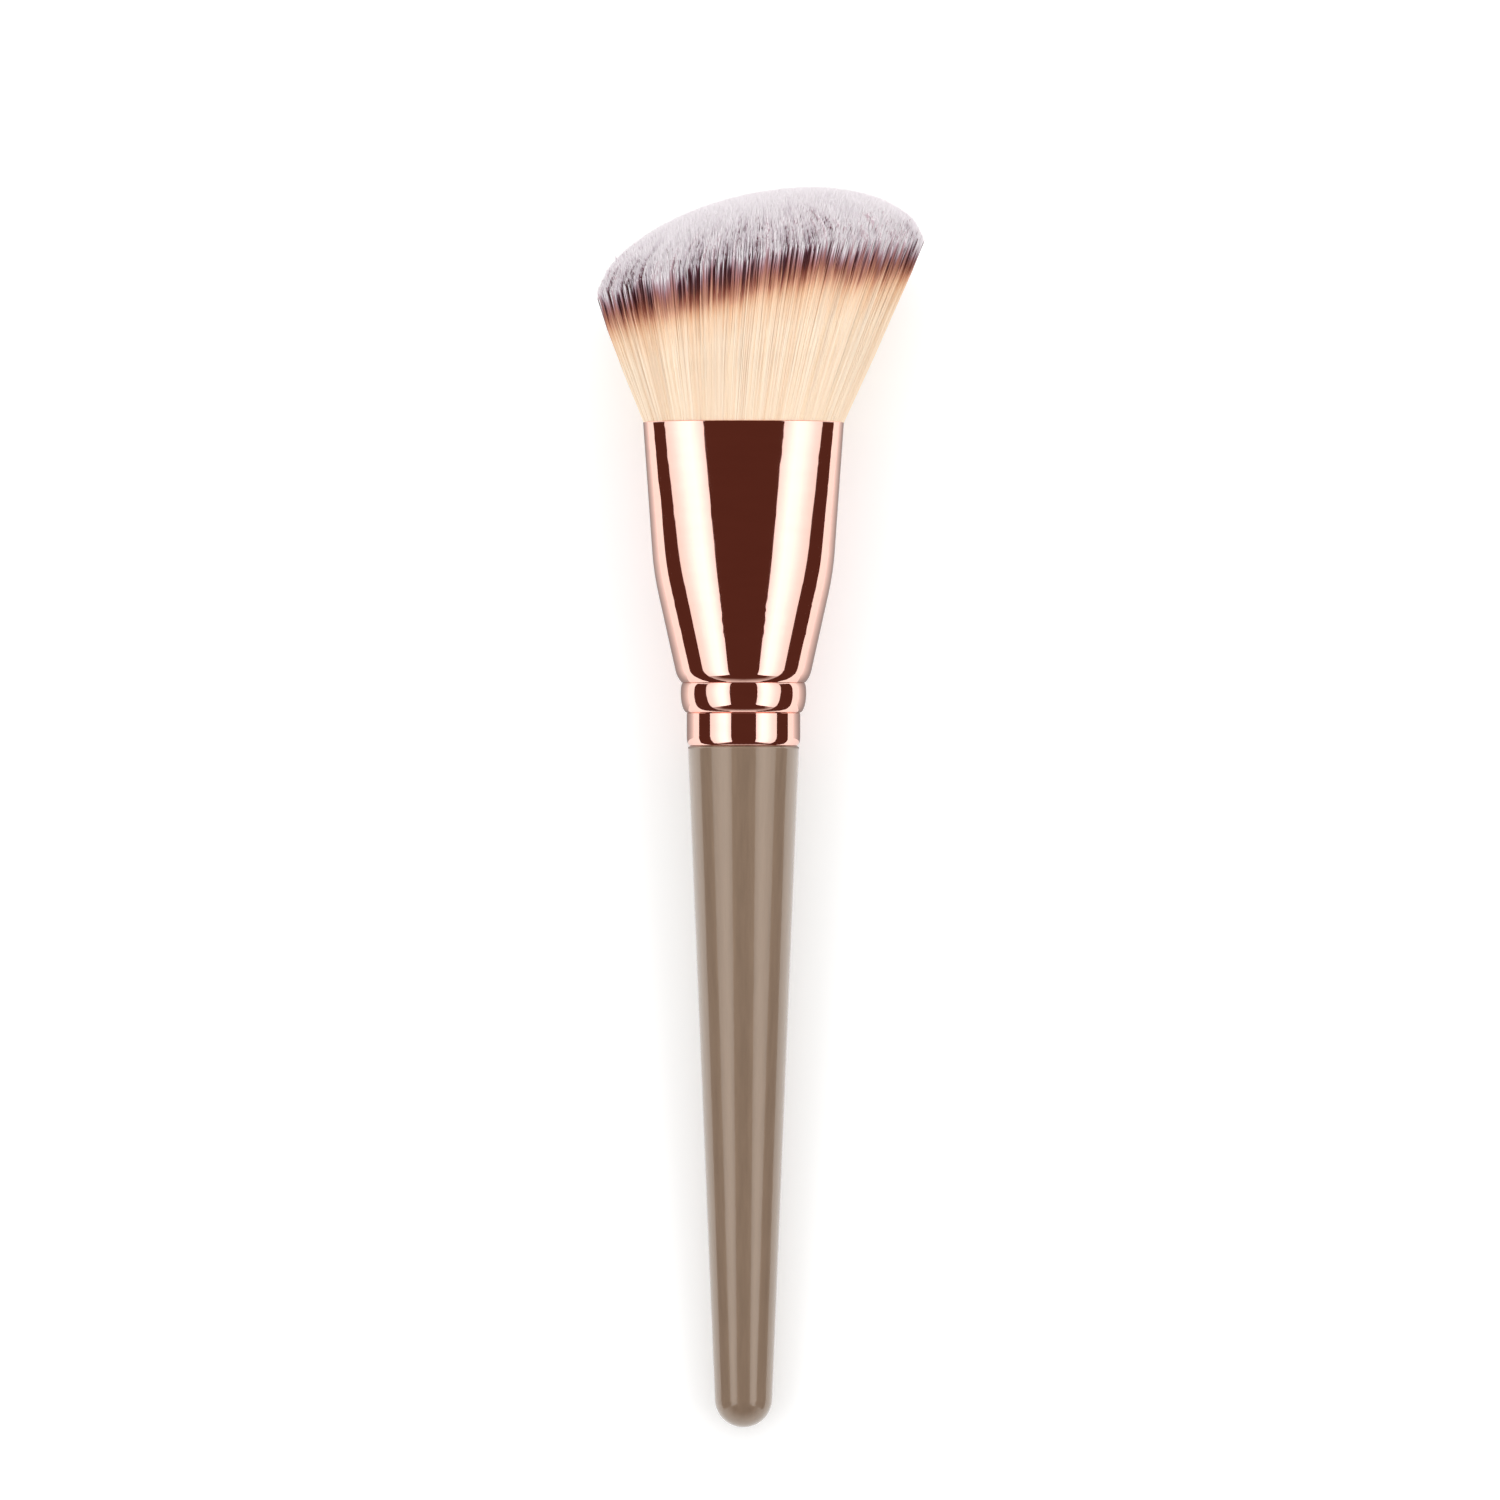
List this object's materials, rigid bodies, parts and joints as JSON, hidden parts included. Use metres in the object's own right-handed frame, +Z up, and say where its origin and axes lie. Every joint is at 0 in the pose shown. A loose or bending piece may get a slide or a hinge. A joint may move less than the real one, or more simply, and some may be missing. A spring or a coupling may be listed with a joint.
{
  "type": "contour brush",
  "caption": "Make-up brush with a round-ended tapered handle, a rose gold ferrule that flattens to an oval mouth, and a fanned tuft with an angled dome.",
  "frame": {"origin": "centre of the footprint, on the table that the brush lies on", "axes": "+Y along the brush towards the tuft, +X across its wide face towards the tuft's long side, +Z up"},
  "size_m": [0.0462, 0.1748, 0.0262],
  "materials": {
    "taupe_lacquer": "glossy opaque lacquer on turned wood",
    "rose_gold": "mirror-polished rose gold plating",
    "resin": "cast resin, hidden",
    "fibre": "cream synthetic fibre with a brown band and white tips"
  },
  "bodies": {
    "root": {"handle": "taupe_lacquer", "ferrule": "rose_gold", "root_glue_plug": "resin", "bristle_head": "fibre"}
  },
  "joints": []
}
